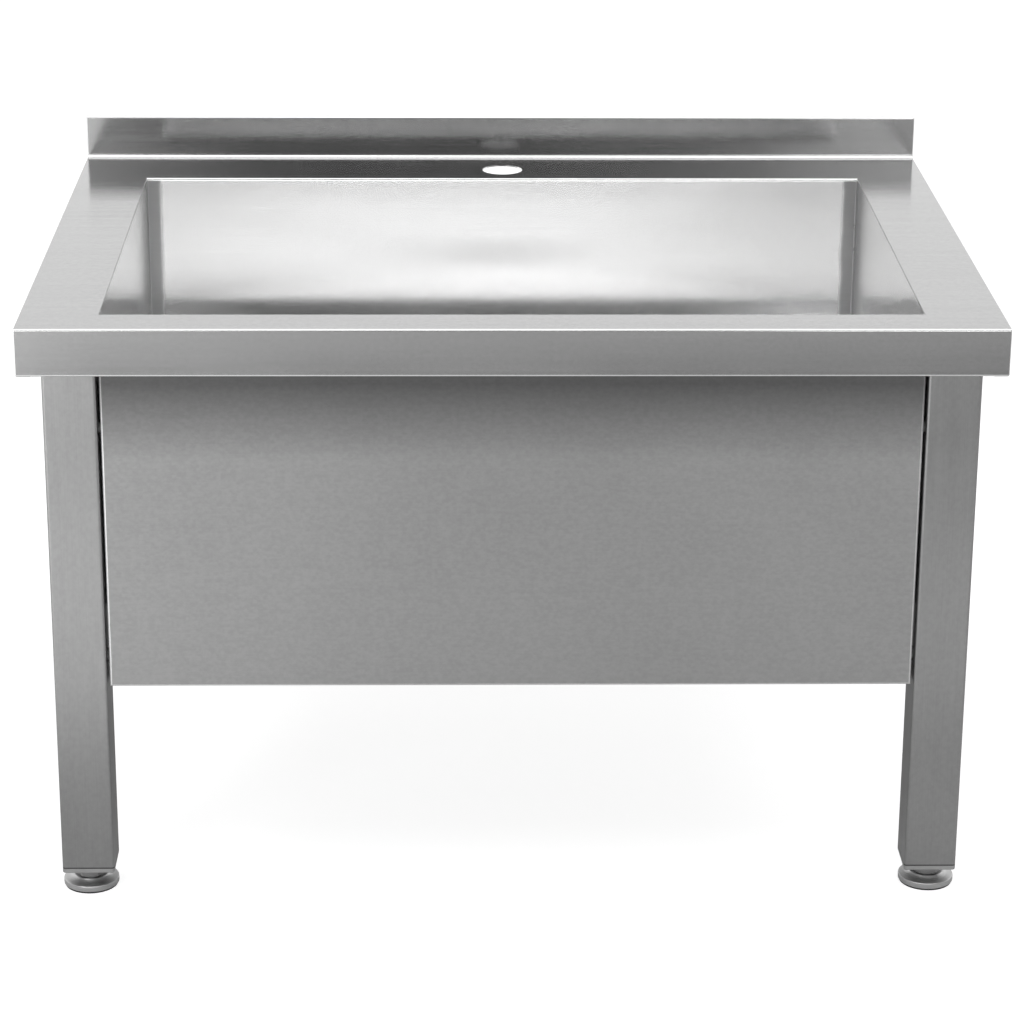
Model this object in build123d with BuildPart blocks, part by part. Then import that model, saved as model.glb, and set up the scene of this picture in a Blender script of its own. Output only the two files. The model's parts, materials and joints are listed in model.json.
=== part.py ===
from build123d import *
import os

# Low single-bowl utility sink: a pressed worktop with an upstand, a welded bowl, four square
# tube legs on levelling feet, a front apron and a basket waste.
# Millimetres. X runs to the right, Y to the back and Z up. The origin is on the floor, under
# the middle of the worktop.

# ---------------------------------------------------------------- overall
width = 800.0
depth = 600.0
worktop_height = 505.0

# ---------------------------------------------------------------- worktop sheet
top_sheet = 1.2
fascia_height = 40.0
fascia_lip = 11.0
upstand_height = 40.0
upstand_thickness = 12.0
upstand_rear_lip = 28.0
fold_radius = 2.0
upstand_bend_radius = 3.0
ground_corner_radius = 1.0
opening_edge_radius = 0.9
tap_hole_diameter = 38.0
tap_hole_behind_bowl = 34.0

# ---------------------------------------------------------------- bowl
bowl_side_margin = 64.5
bowl_front_margin = 43.0
bowl_rear_margin = 97.0
bowl_depth = 250.0
bowl_sheet = 1.0
floor_fall = 8.0
drain_seat = 132.0
drain_hole_diameter = 90.0

# ---------------------------------------------------------------- legs and rails
leg_size = 44.0
leg_wall = 1.5
leg_corner_radius = 2.5
leg_bowl_gap = 0.5
leg_front_setback = 13.5
leg_back_setback = 13.5
rail_size = 25.0
rail_wall = 1.5
rail_corner_radius = 2.0
rear_brace_height = 330.0

# ---------------------------------------------------------------- front apron
apron_sheet = 1.0
apron_side_gap = 2.4
apron_return = 25.0
apron_bottom_height = 191.0
apron_bend_radius = 2.0

# ---------------------------------------------------------------- levelling feet
foot_pad_radius = 22.4
foot_pad_thickness = 1.5
foot_disc_radius = 23.5
foot_rim_height = 5.2
foot_rim_rounding = 0.8
foot_collar_radius = 14.4
foot_collar_height = 3.2
hex_across_flats = 24.0
hex_height = 9.1
stud_radius = 6.0
stud_length = 48.0
stud_tip_chamfer = 1.0
swivel_neck_radius = 4.6
swivel_head_radius = 6.6
swivel_head_thickness = 2.0
swivel_play = 0.3
running_clearance = 0.05
plug_flange_thickness = 4.0
plug_body_height = 25.0
plug_fit = 0.1
plug_edge_radius = 1.0

# ---------------------------------------------------------------- worktop fixings
fixing_stud_radius = 3.0
fixing_hole_radius = 3.4
fixing_stud_end = 3.0
washer_radius = 6.0
washer_thickness = 1.6
nut_across_flats = 10.0
nut_height = 5.0
front_fixing_spacing = 220.0
side_fixing_spacing = 240.0

# ---------------------------------------------------------------- apron side fixings
side_screw_radius = 2.5
side_screw_hole_radius = 2.8
side_screw_head_radius = 4.8
side_screw_head_height = 2.8
side_screw_length = 14.0
side_screw_low_height = 215.0
side_screw_spacing = 200.0
spacer_radius = 6.0
rivet_nut_radius = 3.5
rivet_nut_length = 9.0
rivet_nut_flange_radius = 5.0
rivet_nut_flange_thickness = 0.6
thread_clearance = 0.05

# ---------------------------------------------------------------- basket waste
flange_gasket_thickness = 1.0
flange_radius = 56.0
flange_thickness = 1.6
cup_radius = 43.0
cup_sheet = 1.0
cup_depth = 31.0
cup_drain_holes = 6
cup_drain_hole_radius = 7.0
cup_drain_circle_radius = 24.0
under_gasket_thickness = 3.0
under_gasket_width = 11.0
housing_wall = 3.0
housing_cup_gap = 2.0
housing_floor_gap = 4.0
outlet_radius = 23.9
outlet_wall = 3.4
outlet_length = 45.0
spider_boss_radius = 6.5
spider_rib_thickness = 3.0
spider_rib_height = 9.0
clamp_screw_radius = 3.0
clamp_screw_head_radius = 6.0
clamp_screw_head_height = 2.4
basket_rim_gap = 0.6
basket_rim_width = 3.0
basket_sheet = 0.8
basket_height = 22.0
basket_bottom_radius = 31.0
basket_hole_radius = 2.2
basket_wall_holes = 18
basket_floor_holes = 10
basket_floor_circle_radius = 22.0
basket_seal_thickness = 3.0
basket_seal_radius = 35.0
knob_radius = 4.0
knob_head_radius = 7.5
knob_head_height = 5.0
knob_height = 25.0

# ---------------------------------------------------------------- places worked out from the sizes
front_y = -depth / 2
rear_y = depth / 2
upstand_y = rear_y - upstand_thickness
upstand_top = worktop_height + upstand_height
fascia_bottom = worktop_height - fascia_height
deck_underside = worktop_height - top_sheet

bowl_width = width - 2 * bowl_side_margin
bowl_front_y = front_y + bowl_front_margin
bowl_rear_y = rear_y - bowl_rear_margin
bowl_length = bowl_rear_y - bowl_front_y
bowl_centre_y = (bowl_front_y + bowl_rear_y) / 2
floor_edge_z = worktop_height - bowl_depth
seat_z = floor_edge_z - floor_fall
tap_hole_y = bowl_rear_y + tap_hole_behind_bowl

leg_inner_x = bowl_width / 2 + bowl_sheet + leg_bowl_gap
leg_centre_x = leg_inner_x + leg_size / 2
leg_outer_x = leg_inner_x + leg_size
leg_front_y = front_y + leg_front_setback
leg_back_y = rear_y - leg_back_setback
front_leg_centre_y = leg_front_y + leg_size / 2
back_leg_centre_y = leg_back_y - leg_size / 2
side_rail_x = leg_outer_x - rail_size / 2
side_rail_length = leg_back_y - leg_front_y - 2 * leg_size
side_rail_centre_y = (leg_front_y + leg_back_y) / 2
rail_underside = deck_underside - rail_size
front_rail_y = leg_front_y + rail_size / 2
rear_brace_y = leg_back_y - rail_size / 2

rim_top_z = foot_pad_thickness + foot_rim_height
collar_top_z = rim_top_z + foot_collar_height
hex_top_z = collar_top_z + hex_height
leg_bottom_z = hex_top_z + plug_flange_thickness

apron_half_width = leg_inner_x - apron_side_gap
apron_height = rail_underside - apron_bottom_height
side_screw_y = leg_front_y + apron_return / 2

LEG_PLACES = {
    "front_left": (-leg_centre_x, front_leg_centre_y),
    "front_right": (leg_centre_x, front_leg_centre_y),
    "back_left": (-leg_centre_x, back_leg_centre_y),
    "back_right": (leg_centre_x, back_leg_centre_y),
}

FRONT_FIXINGS = [(step * front_fixing_spacing, front_rail_y) for step in (-1, 0, 1)]
SIDE_FIXINGS = [
    (side * side_rail_x, side_rail_centre_y + step * side_fixing_spacing / 2)
    for side in (-1, 1)
    for step in (-1, 1)
]
# The selectors below pick edges and faces that lie within this distance of a place.
reach = 0.1

SIDE_SCREW_HEIGHTS = [side_screw_low_height, side_screw_low_height + side_screw_spacing]

os.makedirs("parts", exist_ok=True)


def worktop_outline(closed):
    """The visible side of the folded sheet, seen from the side: lip, fascia, deck, upstand, rear lip.
    Closed, it is the outline of the end plates."""
    corners = [
        (front_y + fascia_lip, fascia_bottom),
        (front_y, fascia_bottom),
        (front_y, worktop_height),
        (upstand_y, worktop_height),
        (upstand_y, upstand_top),
        (rear_y, upstand_top),
        (rear_y, upstand_top - upstand_rear_lip),
    ]
    radii = [fold_radius, fold_radius, upstand_bend_radius, fold_radius, fold_radius]
    with BuildLine() as outline:
        FilletPolyline(*corners, radius=radii)
        if closed:
            Polyline(corners[-1], (rear_y, fascia_bottom), corners[0])
    return outline.line


def square_tube(size, wall, corner_radius):
    """The section of a square tube, centred on the sketch."""
    with BuildSketch(mode=Mode.PRIVATE) as section:
        RectangleRounded(size, size, corner_radius)
        RectangleRounded(size - 2 * wall, size - 2 * wall, corner_radius - wall / 2, mode=Mode.SUBTRACT)
    return section.sketch


def bowl_space(wall, top_z):
    """The bowl's inside, grown by a wall: a straight box over a floor that falls from its four
    sides to the flat seat of the waste."""
    edge_z = floor_edge_z - wall
    with BuildPart(mode=Mode.PRIVATE) as space:
        with BuildSketch(Plane((0, bowl_centre_y, edge_z))):
            Rectangle(bowl_width + 2 * wall, bowl_length + 2 * wall)
        extrude(amount=top_z - edge_z)
        with BuildSketch(Plane((0, bowl_centre_y, edge_z))):
            Rectangle(bowl_width + 2 * wall, bowl_length + 2 * wall)
        with BuildSketch(Plane((0, bowl_centre_y, seat_z - wall))):
            Rectangle(drain_seat, drain_seat)
        loft(ruled=True)
    return space.part


def worktop_end_plate(side):
    """One end of the folded sheet, its outer edge ground round, welded on at the left or right."""
    with BuildPart(mode=Mode.PRIVATE) as plate:
        with BuildSketch(Plane.YZ.offset(side * (width / 2 - top_sheet))):
            with BuildLine():
                add(worktop_outline(closed=True))
            make_face()
        extrude(amount=side * top_sheet)
        outer_face = plate.faces().sort_by(Axis.X)[-1 if side > 0 else 0]
        fillet(outer_face.edges(), radius=ground_corner_radius)
    return plate.part


# ---------------------------------------------------------------- worktop
# One sheet is folded along X: lip, fascia, deck, upstand and rear lip. End plates with their own
# lips are welded on and the corners are ground round.
with BuildPart() as worktop:
    with BuildSketch(Plane.YZ.offset(top_sheet - width / 2)):
        with BuildLine():
            add(worktop_outline(closed=False))
            offset(amount=top_sheet, side=Side.RIGHT)
        make_face()
    extrude(amount=width - 2 * top_sheet)
    for side in (-1, 1):
        add(worktop_end_plate(side))
        with BuildSketch(Plane.XY.offset(fascia_bottom)):
            with Locations((side * (width / 2 - top_sheet - fascia_lip / 2), 0)):
                Rectangle(fascia_lip, depth - 2 * top_sheet)
        extrude(amount=top_sheet)
    with BuildSketch(Plane((0, bowl_centre_y, worktop_height))):
        Rectangle(bowl_width, bowl_length)
    extrude(amount=-top_sheet, mode=Mode.SUBTRACT)
    deck_edges = worktop.edges().filter_by_position(Axis.Z, worktop_height - reach, worktop_height + reach)
    across = deck_edges.filter_by_position(Axis.X, -bowl_width / 2 - reach, bowl_width / 2 + reach)
    fillet(across.filter_by_position(Axis.Y, bowl_front_y - reach, bowl_rear_y + reach), opening_edge_radius)
    with Locations((0, tap_hole_y, worktop_height)):
        Hole(radius=tap_hole_diameter / 2, depth=top_sheet)
worktop.part.label = "worktop"
export_step(worktop.part, "parts/worktop.step")

# ---------------------------------------------------------------- bowl
# Four welded walls hang from the underside of the deck, flush with its opening, and the floor
# falls to the waste.
with BuildPart() as bowl:
    add(bowl_space(bowl_sheet, deck_underside))
    add(bowl_space(0, deck_underside), mode=Mode.SUBTRACT)
    with Locations((0, bowl_centre_y, seat_z)):
        Hole(radius=drain_hole_diameter / 2, depth=bowl_sheet)
bowl.part.label = "bowl"
export_step(bowl.part, "parts/bowl.step")

# ---------------------------------------------------------------- front apron
# A shallow pan, open at the back. Its upper return lies under the front rail, and its side
# returns stand beside the legs.
with BuildPart() as front_apron:
    with BuildSketch(Plane.XZ.offset(-leg_front_y)):
        with Locations((0, apron_bottom_height + apron_height / 2)):
            Rectangle(2 * apron_half_width, apron_height)
    extrude(amount=-apron_return)
    front_face = front_apron.faces().sort_by(Axis.Y)[0]
    fillet(front_face.edges(), radius=apron_bend_radius)
    offset(amount=-apron_sheet, openings=front_apron.faces().sort_by(Axis.Y)[-1])
    with Locations(*[(x, y, rail_underside) for x, y in FRONT_FIXINGS]):
        Hole(radius=fixing_hole_radius, depth=apron_sheet)
    for side in (-1, 1):
        with BuildSketch(Plane.YZ.offset(side * apron_half_width)):
            with Locations(*[(side_screw_y, height) for height in SIDE_SCREW_HEIGHTS]):
                Circle(side_screw_hole_radius)
        extrude(amount=-side * apron_sheet, mode=Mode.SUBTRACT)
front_apron.part.label = "front_apron"
export_step(front_apron.part, "parts/front_apron.step")


# ---------------------------------------------------------------- legs
# Square tubes from the underside of the deck to the flanges of their plugs. The front pair has
# the holes of the apron's side screws.
for place, (leg_x, leg_y) in LEG_PLACES.items():
    inward = -1 if leg_x > 0 else 1
    with BuildPart() as leg:
        with BuildSketch(Plane((leg_x, leg_y, leg_bottom_z))):
            add(square_tube(leg_size, leg_wall, leg_corner_radius))
        extrude(amount=deck_underside - leg_bottom_z)
        if place.startswith("front"):
            with BuildSketch(Plane.YZ.offset(leg_x + inward * leg_size / 2)):
                with Locations(*[(side_screw_y, height) for height in SIDE_SCREW_HEIGHTS]):
                    Circle(rivet_nut_radius)
            extrude(amount=-inward * leg_wall, mode=Mode.SUBTRACT)
    leg.part.label = f"leg_{place}"
    export_step(leg.part, f"parts/leg_{place}.step")


# ---------------------------------------------------------------- rails
# The front rail and the side rails lie under the deck, drilled for its fixing studs. The rear
# brace ties the back legs together behind the bowl.
with BuildPart() as front_rail:
    with BuildSketch(Plane.YZ.offset(-leg_inner_x)):
        with Locations((front_rail_y, deck_underside - rail_size / 2)):
            add(square_tube(rail_size, rail_wall, rail_corner_radius))
    extrude(amount=2 * leg_inner_x)
    with Locations(*[(x, y, deck_underside) for x, y in FRONT_FIXINGS]):
        Hole(radius=fixing_hole_radius, depth=rail_size)
front_rail.part.label = "front_rail"
export_step(front_rail.part, "parts/front_rail.step")

for name, side in (("left_rail", -1), ("right_rail", 1)):
    with BuildPart() as side_rail:
        with BuildSketch(Plane.XZ.offset(-leg_front_y - leg_size)):
            with Locations((side * side_rail_x, deck_underside - rail_size / 2)):
                add(square_tube(rail_size, rail_wall, rail_corner_radius))
        extrude(amount=-side_rail_length)
        with Locations(*[(x, y, deck_underside) for x, y in SIDE_FIXINGS if x * side > 0]):
            Hole(radius=fixing_hole_radius, depth=rail_size)
    side_rail.part.label = name
    export_step(side_rail.part, f"parts/{name}.step")

with BuildPart() as rear_brace:
    with BuildSketch(Plane.YZ.offset(-leg_inner_x)):
        with Locations((rear_brace_y, rear_brace_height)):
            add(square_tube(rail_size, rail_wall, rail_corner_radius))
    extrude(amount=2 * leg_inner_x)
rear_brace.part.label = "rear_brace"
export_step(rear_brace.part, "parts/rear_brace.step")


# ---------------------------------------------------------------- leg plugs
# A threaded square insert sits in each tube, with a flange under the tube's end.
for place, (leg_x, leg_y) in LEG_PLACES.items():
    with BuildPart() as leg_plug:
        with BuildSketch(Plane((leg_x, leg_y, hex_top_z))):
            RectangleRounded(leg_size, leg_size, leg_corner_radius)
        extrude(amount=plug_flange_thickness)
        fillet(leg_plug.faces().sort_by(Axis.Z)[0].edges(), radius=plug_edge_radius)
        with BuildSketch(Plane((leg_x, leg_y, leg_bottom_z))):
            body_size = leg_size - 2 * leg_wall - 2 * plug_fit
            RectangleRounded(body_size, body_size, leg_corner_radius - leg_wall / 2)
        extrude(amount=plug_body_height)
        with Locations((leg_x, leg_y, leg_bottom_z + plug_body_height)):
            Hole(radius=stud_radius + running_clearance, depth=plug_body_height + plug_flange_thickness)
    leg_plug.part.label = f"leg_plug_{place}"
    export_step(leg_plug.part, f"parts/leg_plug_{place}.step")


# ---------------------------------------------------------------- levelling feet
# Each disc stands on a pad and holds the lower end of its stud, which turns in it. The stud's
# hexagon takes a spanner, and its thread runs in the leg plug.
head_bottom_z = foot_pad_thickness + swivel_play
head_top_z = head_bottom_z + swivel_head_thickness
shoulder_z = head_top_z + swivel_play
for place, (leg_x, leg_y) in LEG_PLACES.items():
    with BuildPart() as foot_pad:
        with BuildSketch(Plane((leg_x, leg_y, 0))):
            Circle(foot_pad_radius)
        extrude(amount=foot_pad_thickness)
    foot_pad.part.label = f"foot_pad_{place}"
    export_step(foot_pad.part, f"parts/foot_pad_{place}.step")

    with BuildPart() as foot_disc:
        with BuildSketch(Plane((leg_x, leg_y, 0), x_dir=(1, 0, 0), z_dir=(0, -1, 0))):
            with BuildLine():
                Polyline((foot_collar_radius, collar_top_z), (0, collar_top_z), (0, foot_pad_thickness),
                         (foot_disc_radius, foot_pad_thickness), (foot_disc_radius, rim_top_z))
                ThreePointArc(
                    (foot_disc_radius, rim_top_z),
                    ((foot_disc_radius + 2 * foot_collar_radius) / 3, rim_top_z + foot_collar_height / 4),
                    (foot_collar_radius, collar_top_z),
                )
            make_face()
        revolve(axis=Axis((leg_x, leg_y, 0), (0, 0, 1)))
        rim_edge = foot_disc.edges().filter_by(GeomType.CIRCLE).filter_by_position(
            Axis.Z, rim_top_z - reach, rim_top_z + reach
        )
        fillet(rim_edge, radius=foot_rim_rounding)
        with Locations((leg_x, leg_y, collar_top_z)):
            Hole(radius=swivel_neck_radius + running_clearance, depth=collar_top_z - foot_pad_thickness)
        with BuildSketch(Plane((leg_x, leg_y, foot_pad_thickness))):
            Circle(swivel_head_radius + swivel_play)
        extrude(amount=shoulder_z - foot_pad_thickness, mode=Mode.SUBTRACT)
    foot_disc.part.label = f"foot_disc_{place}"
    export_step(foot_disc.part, f"parts/foot_disc_{place}.step")

    with BuildPart() as foot_stud:
        with BuildSketch(Plane((leg_x, leg_y, head_bottom_z))):
            Circle(swivel_head_radius)
        extrude(amount=swivel_head_thickness)
        with BuildSketch(Plane((leg_x, leg_y, head_top_z))):
            Circle(swivel_neck_radius)
        extrude(amount=collar_top_z - head_top_z)
        with BuildSketch(Plane((leg_x, leg_y, collar_top_z))):
            RegularPolygon(hex_across_flats / 2, 6, major_radius=False)
        extrude(amount=hex_height)
        with BuildSketch(Plane((leg_x, leg_y, hex_top_z))):
            Circle(stud_radius)
        extrude(amount=stud_length)
        chamfer(foot_stud.faces().sort_by(Axis.Z)[-1].edges(), length=stud_tip_chamfer)
    foot_stud.part.label = f"foot_stud_{place}"
    export_step(foot_stud.part, f"parts/foot_stud_{place}.step")


# ---------------------------------------------------------------- worktop fixings
# Studs welded under the deck pass through the rails. A washer and a nut draw each one down, and
# in front they hold the apron's upper return as well.
fixing_places = []
for x, y in FRONT_FIXINGS:
    fixing_places.append((x, y, rail_underside - apron_sheet))
for x, y in SIDE_FIXINGS:
    fixing_places.append((x, y, rail_underside))

with BuildPart() as worktop_studs:
    for x, y, seat in fixing_places:
        stud_end_z = seat - washer_thickness - nut_height - fixing_stud_end
        with BuildSketch(Plane((x, y, stud_end_z))):
            Circle(fixing_stud_radius)
        extrude(amount=deck_underside - stud_end_z)
worktop_studs.part.label = "worktop_studs"
export_step(worktop_studs.part, "parts/worktop_studs.step")

with BuildPart() as worktop_washers:
    for x, y, seat in fixing_places:
        with BuildSketch(Plane((x, y, seat))):
            Circle(washer_radius)
            Circle(fixing_hole_radius, mode=Mode.SUBTRACT)
        extrude(amount=-washer_thickness)
worktop_washers.part.label = "worktop_washers"
export_step(worktop_washers.part, "parts/worktop_washers.step")

with BuildPart() as worktop_nuts:
    for x, y, seat in fixing_places:
        with BuildSketch(Plane((x, y, seat - washer_thickness))):
            RegularPolygon(nut_across_flats / 2, 6, major_radius=False)
            Circle(fixing_stud_radius + thread_clearance, mode=Mode.SUBTRACT)
        extrude(amount=-nut_height)
worktop_nuts.part.label = "worktop_nuts"
export_step(worktop_nuts.part, "parts/worktop_nuts.step")


# ---------------------------------------------------------------- apron side fixings
# Screws go outward through the apron's side returns and spacers into rivet nuts in the legs.
with BuildPart() as apron_spacers:
    for side in (-1, 1):
        with BuildSketch(Plane.YZ.offset(side * apron_half_width)):
            with Locations(*[(side_screw_y, height) for height in SIDE_SCREW_HEIGHTS]):
                Circle(spacer_radius)
                Circle(rivet_nut_flange_radius + thread_clearance, mode=Mode.SUBTRACT)
        extrude(amount=side * apron_side_gap)
apron_spacers.part.label = "apron_spacers"
export_step(apron_spacers.part, "parts/apron_spacers.step")

with BuildPart() as rivet_nuts:
    for side in (-1, 1):
        with BuildSketch(Plane.YZ.offset(side * leg_inner_x)):
            with Locations(*[(side_screw_y, height) for height in SIDE_SCREW_HEIGHTS]):
                Circle(rivet_nut_flange_radius)
                Circle(side_screw_radius + thread_clearance, mode=Mode.SUBTRACT)
        extrude(amount=-side * rivet_nut_flange_thickness)
        with BuildSketch(Plane.YZ.offset(side * leg_inner_x)):
            with Locations(*[(side_screw_y, height) for height in SIDE_SCREW_HEIGHTS]):
                Circle(rivet_nut_radius - thread_clearance)
                Circle(side_screw_radius + thread_clearance, mode=Mode.SUBTRACT)
        extrude(amount=side * rivet_nut_length)
rivet_nuts.part.label = "rivet_nuts"
export_step(rivet_nuts.part, "parts/rivet_nuts.step")

with BuildPart() as apron_screws:
    for side in (-1, 1):
        head_x = side * (apron_half_width - apron_sheet)
        with BuildSketch(Plane.YZ.offset(head_x)):
            with Locations(*[(side_screw_y, height) for height in SIDE_SCREW_HEIGHTS]):
                Circle(side_screw_head_radius)
        extrude(amount=-side * side_screw_head_height)
        with BuildSketch(Plane.YZ.offset(head_x)):
            with Locations(*[(side_screw_y, height) for height in SIDE_SCREW_HEIGHTS]):
                Circle(side_screw_radius)
        extrude(amount=side * side_screw_length)
apron_screws.part.label = "apron_screws"
export_step(apron_screws.part, "parts/apron_screws.step")


# ---------------------------------------------------------------- basket waste
# A flanged cup drops through the bowl's floor on a gasket. A housing below clamps it with one
# long screw, and a lift-out basket with a rubber seal stands in the cup.
waste_plane = Plane((0, bowl_centre_y, 0), x_dir=(1, 0, 0), z_dir=(0, -1, 0))
waste_axis = Axis((0, bowl_centre_y, 0), (0, 0, 1))
floor_underside_z = seat_z - bowl_sheet
flange_seat_z = seat_z + flange_gasket_thickness
flange_top_z = flange_seat_z + flange_thickness
cup_floor_z = flange_top_z - cup_depth
gasket_bottom_z = floor_underside_z - under_gasket_thickness
drain_hole_radius = drain_hole_diameter / 2
housing_inner_radius = cup_radius + housing_cup_gap
housing_outer_radius = housing_inner_radius + housing_wall
housing_floor_z = cup_floor_z - cup_sheet - housing_floor_gap
outlet_top_z = housing_floor_z - housing_wall
outlet_end_z = outlet_top_z - outlet_length
outlet_bore_radius = outlet_radius - outlet_wall
under_gasket_radius = drain_hole_radius + under_gasket_width
cup_inner_radius = cup_radius - cup_sheet
basket_rim_radius = cup_inner_radius - basket_rim_gap
basket_top_radius = basket_rim_radius - basket_rim_width
basket_floor_z = cup_floor_z + basket_seal_thickness
basket_rim_z = basket_floor_z + basket_height

with BuildPart() as flange_gasket:
    with BuildSketch(Plane((0, bowl_centre_y, seat_z))):
        Circle(flange_radius - flange_thickness)
        Circle(drain_hole_radius, mode=Mode.SUBTRACT)
    extrude(amount=flange_gasket_thickness)
flange_gasket.part.label = "flange_gasket"
export_step(flange_gasket.part, "parts/flange_gasket.step")

with BuildPart() as waste_flange:
    with BuildSketch(Plane((0, bowl_centre_y, flange_seat_z))):
        Circle(flange_radius)
    extrude(amount=flange_thickness)
    fillet(waste_flange.faces().sort_by(Axis.Z)[-1].edges(), radius=flange_thickness / 2)
    with BuildSketch(Plane((0, bowl_centre_y, flange_seat_z))):
        Circle(cup_radius)
    extrude(amount=cup_floor_z - cup_sheet - flange_seat_z)
    with BuildSketch(Plane((0, bowl_centre_y, flange_top_z))):
        Circle(cup_inner_radius)
    extrude(amount=-cup_depth, mode=Mode.SUBTRACT)
    lip_edge = waste_flange.edges().filter_by(GeomType.CIRCLE).group_by(Axis.Z)[-1].sort_by(Edge.length)[0]
    fillet(lip_edge, radius=flange_thickness / 2)
    with Locations((0, bowl_centre_y, cup_floor_z)):
        Hole(radius=clamp_screw_radius + running_clearance, depth=cup_sheet)
        with PolarLocations(cup_drain_circle_radius, cup_drain_holes):
            Hole(radius=cup_drain_hole_radius, depth=cup_sheet)
waste_flange.part.label = "waste_flange"
export_step(waste_flange.part, "parts/waste_flange.step")

with BuildPart() as under_gasket:
    with BuildSketch(Plane((0, bowl_centre_y, gasket_bottom_z))):
        Circle(under_gasket_radius)
        Circle(drain_hole_radius, mode=Mode.SUBTRACT)
    extrude(amount=under_gasket_thickness)
under_gasket.part.label = "under_gasket"
export_step(under_gasket.part, "parts/under_gasket.step")

with BuildPart() as waste_housing:
    with BuildSketch(waste_plane):
        with BuildLine():
            Polyline(
                (housing_inner_radius, gasket_bottom_z),
                (under_gasket_radius, gasket_bottom_z),
                (under_gasket_radius, gasket_bottom_z - housing_wall),
                (housing_outer_radius, gasket_bottom_z - housing_wall),
                (housing_outer_radius, housing_floor_z),
                (outlet_radius, outlet_top_z),
                (outlet_radius, outlet_end_z),
                (outlet_bore_radius, outlet_end_z),
                (outlet_bore_radius, housing_floor_z),
                (housing_inner_radius, housing_floor_z + housing_wall),
                close=True,
            )
        make_face()
    revolve(axis=waste_axis)
    with BuildSketch(Plane((0, bowl_centre_y, housing_floor_z))):
        Circle(spider_boss_radius)
        Rectangle(2 * outlet_bore_radius + outlet_wall, spider_rib_thickness)
        Rectangle(spider_rib_thickness, 2 * outlet_bore_radius + outlet_wall)
    extrude(amount=-spider_rib_height)
    with Locations((0, bowl_centre_y, housing_floor_z)):
        Hole(radius=clamp_screw_radius + thread_clearance, depth=spider_rib_height)
waste_housing.part.label = "waste_housing"
export_step(waste_housing.part, "parts/waste_housing.step")

with BuildPart() as clamp_screw:
    with BuildSketch(Plane((0, bowl_centre_y, cup_floor_z))):
        Circle(clamp_screw_head_radius)
    extrude(amount=clamp_screw_head_height)
    with BuildSketch(Plane((0, bowl_centre_y, cup_floor_z))):
        Circle(clamp_screw_radius)
    extrude(amount=housing_floor_z - spider_rib_height - cup_floor_z)
clamp_screw.part.label = "clamp_screw"
export_step(clamp_screw.part, "parts/clamp_screw.step")

with BuildPart() as basket_seal:
    with BuildSketch(Plane((0, bowl_centre_y, cup_floor_z))):
        Circle(basket_seal_radius)
        Circle(clamp_screw_head_radius + running_clearance, mode=Mode.SUBTRACT)
    extrude(amount=basket_seal_thickness)
basket_seal.part.label = "basket_seal"
export_step(basket_seal.part, "parts/basket_seal.step")

with BuildPart() as basket:
    with BuildSketch(waste_plane):
        with BuildLine():
            Polyline(
                (0, basket_floor_z),
                (basket_bottom_radius, basket_floor_z),
                (basket_top_radius, basket_rim_z - basket_sheet),
                (basket_rim_radius, basket_rim_z - basket_sheet),
                (basket_rim_radius, basket_rim_z),
                (basket_top_radius - basket_sheet, basket_rim_z),
                (basket_bottom_radius - basket_sheet, basket_floor_z + basket_sheet),
                (0, basket_floor_z + basket_sheet),
                close=True,
            )
        make_face()
    revolve(axis=waste_axis)
    with Locations((0, bowl_centre_y, basket_floor_z + basket_sheet)):
        with PolarLocations(basket_floor_circle_radius, basket_floor_holes):
            Hole(radius=basket_hole_radius, depth=basket_sheet)
    with BuildSketch(Plane((0, bowl_centre_y, basket_floor_z + basket_sheet))):
        Circle(knob_radius)
    extrude(amount=knob_height - basket_sheet)
    with BuildSketch(Plane((0, bowl_centre_y, basket_floor_z + knob_height))):
        Circle(knob_head_radius)
    extrude(amount=-knob_head_height)
    fillet(basket.faces().sort_by(Axis.Z)[-1].edges(), radius=knob_head_height / 3)
    with Locations((0, bowl_centre_y, basket_floor_z + basket_height / 2)):
        with PolarLocations((basket_top_radius + basket_bottom_radius) / 2, basket_wall_holes):
            Cylinder(basket_hole_radius, basket_rim_radius - basket_bottom_radius, rotation=(0, 90, 0),
                     mode=Mode.SUBTRACT)
basket.part.label = "basket"
export_step(basket.part, "parts/basket.step")
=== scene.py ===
import json
import math

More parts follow.
